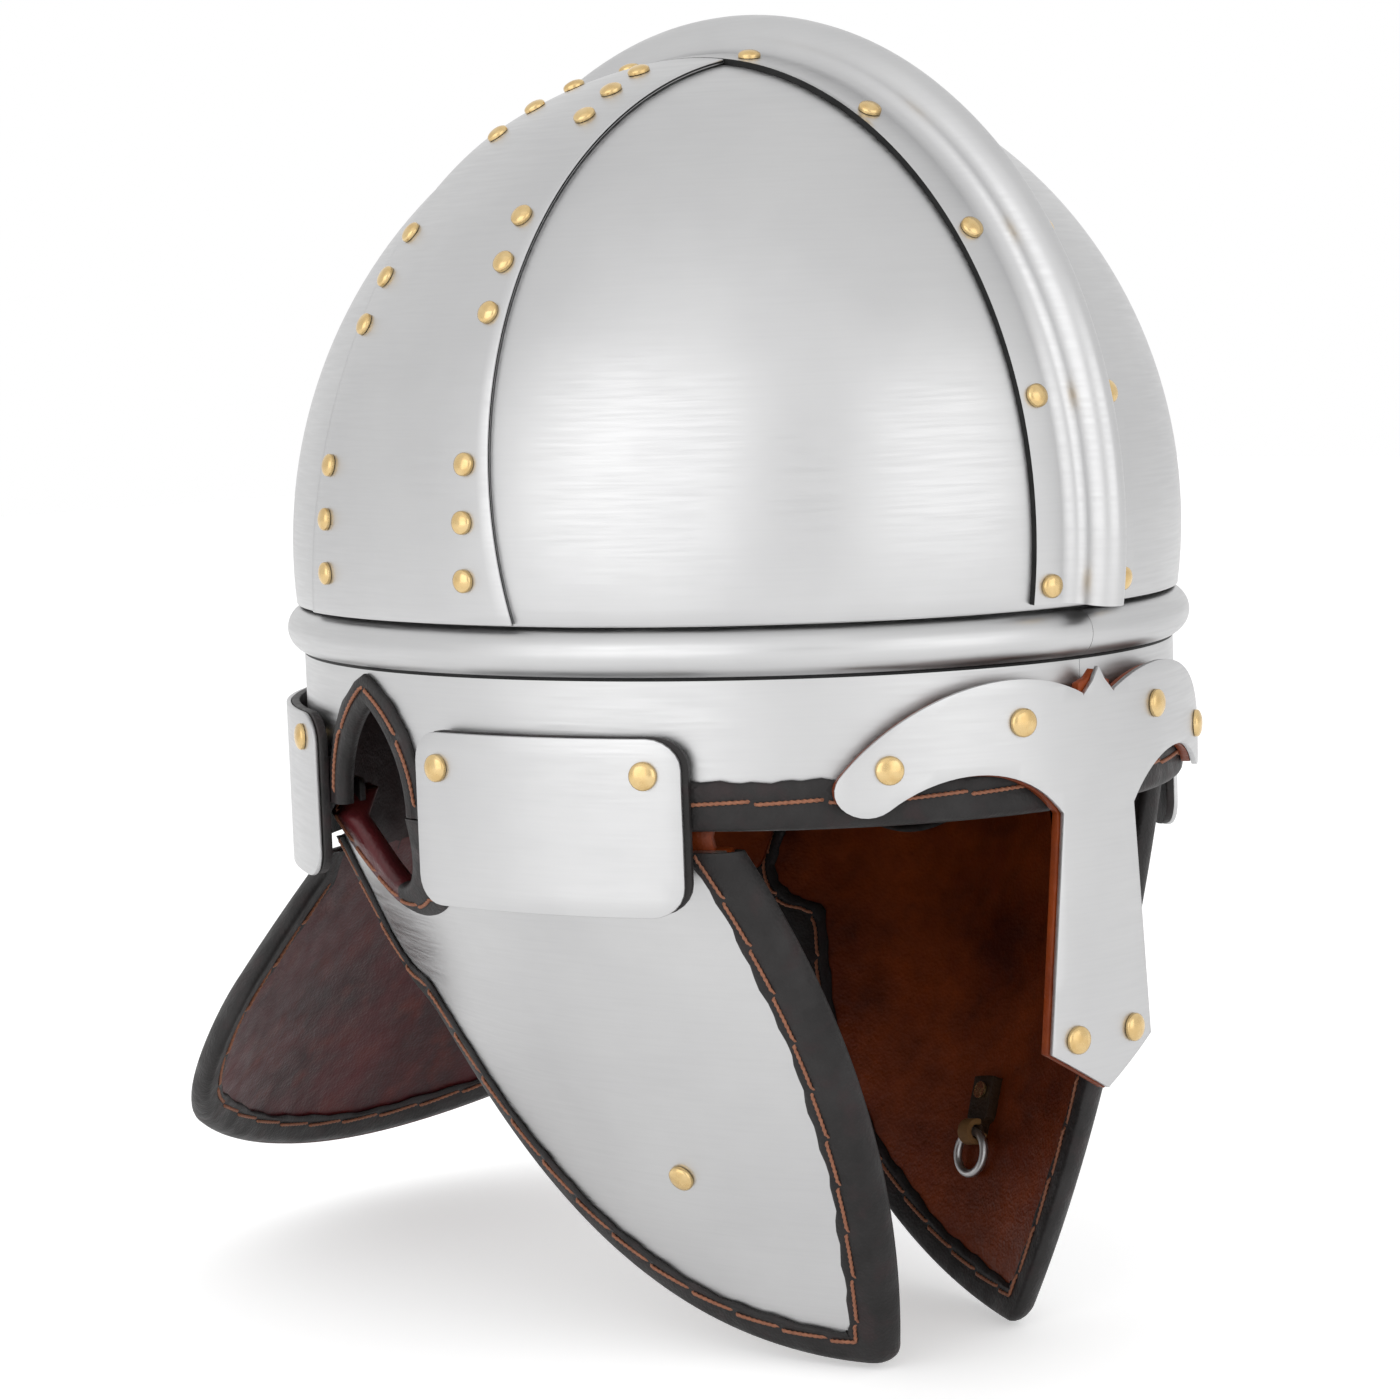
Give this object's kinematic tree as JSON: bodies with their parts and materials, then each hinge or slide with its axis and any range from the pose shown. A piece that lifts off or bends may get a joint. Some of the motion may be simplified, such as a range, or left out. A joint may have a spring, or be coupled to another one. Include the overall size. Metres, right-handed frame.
{
  "type": "helmet",
  "caption": "Segmented steel ridge helmet with riveted dome plates, crest, brow and nasal plate, leather-bound hinged cheek guards and a flared neck guard",
  "frame": {"origin": "centre of the head opening, in the plane of the rim's lower edge", "axes": "front (nasal) is -Y, the wearer's left is +X, the crest is +Z"},
  "size_m": [0.2148, 0.3004, 0.3241],
  "materials": {
    "satin_steel": "satin polished sheet steel",
    "rivet_brass": "polished brass rivets",
    "black_leather": "black stitched edge binding",
    "brown_leather": "antiqued brown leather",
    "oxblood_leather": "mottled oxblood leather",
    "liner_leather": "plain tan liner leather"
  },
  "bodies": {
    "shell": {"dome_plate_front_left": "satin_steel", "dome_plate_front_right": "satin_steel", "dome_plate_rear_left": "satin_steel", "dome_plate_rear_right": "satin_steel", "side_strap_left": "satin_steel", "side_strap_right": "satin_steel", "rim_band_left": "satin_steel", "rim_band_right": "satin_steel", "cheek_hinge_plate_left": "satin_steel", "cheek_hinge_plate_right": "satin_steel", "neck_hinge_plate_left": "satin_steel", "neck_hinge_plate_right": "satin_steel", "crest_ridge": "satin_steel", "brow_plate": "satin_steel", "rim_edging_front": "black_leather", "rim_edging_rear": "black_leather", "brow_backing": "brown_leather", "neck_hinge_leather": "oxblood_leather", "liner_band": "liner_leather", "liner_cap": "liner_leather", "crest_rivets": "rivet_brass", "brow_rivets": "rivet_brass", "cheek_hinge_rivets": "rivet_brass", "neck_hinge_rivets": "rivet_brass", "ear_trim_left": "black_leather", "ear_trim_right": "black_leather", "cheek_plate_backing_left": "black_leather", "cheek_plate_backing_right": "black_leather", "neck_plate_backing_left": "black_leather", "neck_plate_backing_right": "black_leather", "cheek_hinge_leather_left": "brown_leather", "cheek_hinge_leather_right": "brown_leather", "strap_rivets_left": "rivet_brass", "strap_rivets_right": "rivet_brass"},
    "cheek_guard_left": {"cheek_plate_left": "satin_steel", "cheek_lining_left": "brown_leather", "cheek_binding_left": "black_leather", "ear_loop_left": "oxblood_leather", "chin_tab_left": "brown_leather", "chin_rivet_left": "rivet_brass"},
    "chin_ring_left": {"chin_ring_left": "satin_steel"},
    "cheek_guard_right": {"cheek_plate_right": "satin_steel", "cheek_lining_right": "brown_leather", "cheek_binding_right": "black_leather", "ear_loop_right": "oxblood_leather", "chin_tab_right": "brown_leather", "chin_rivet_right": "rivet_brass"},
    "chin_ring_right": {"chin_ring_right": "satin_steel"},
    "neck_guard": {"neck_plate": "satin_steel", "neck_lining": "oxblood_leather", "neck_binding": "black_leather"}
  },
  "joints": [
    {"name": "cheek_hinge_left", "type": "hinge", "parent": "shell", "child": "cheek_guard_left", "pos_m": [0.08975, -0.04, -0.0022], "axis": [0.2967, 0.955, 0], "range_deg": [-24, 6]},
    {"name": "cheek_hinge_right", "type": "hinge", "parent": "shell", "child": "cheek_guard_right", "pos_m": [-0.08975, -0.04, -0.0022], "axis": [0.2967, -0.955, 0], "range_deg": [-24, 6]},
    {"name": "neck_hinge", "type": "hinge", "parent": "shell", "child": "neck_guard", "pos_m": [0, 0.1128, -0.0212], "axis": [1, 0, 0], "range_deg": [-6, 38]},
    {"name": "ring_hinge_left", "type": "hinge", "parent": "cheek_guard_left", "child": "chin_ring_left", "pos_m": [0.04467, -0.03711, -0.09614], "axis": [0.1288, 0.9773, -0.1685], "range_deg": [0, 150]},
    {"name": "ring_hinge_right", "type": "hinge", "parent": "cheek_guard_right", "child": "chin_ring_right", "pos_m": [-0.04467, -0.03711, -0.09614], "axis": [0.1288, -0.9773, 0.1685], "range_deg": [0, 150]}
  ]
}
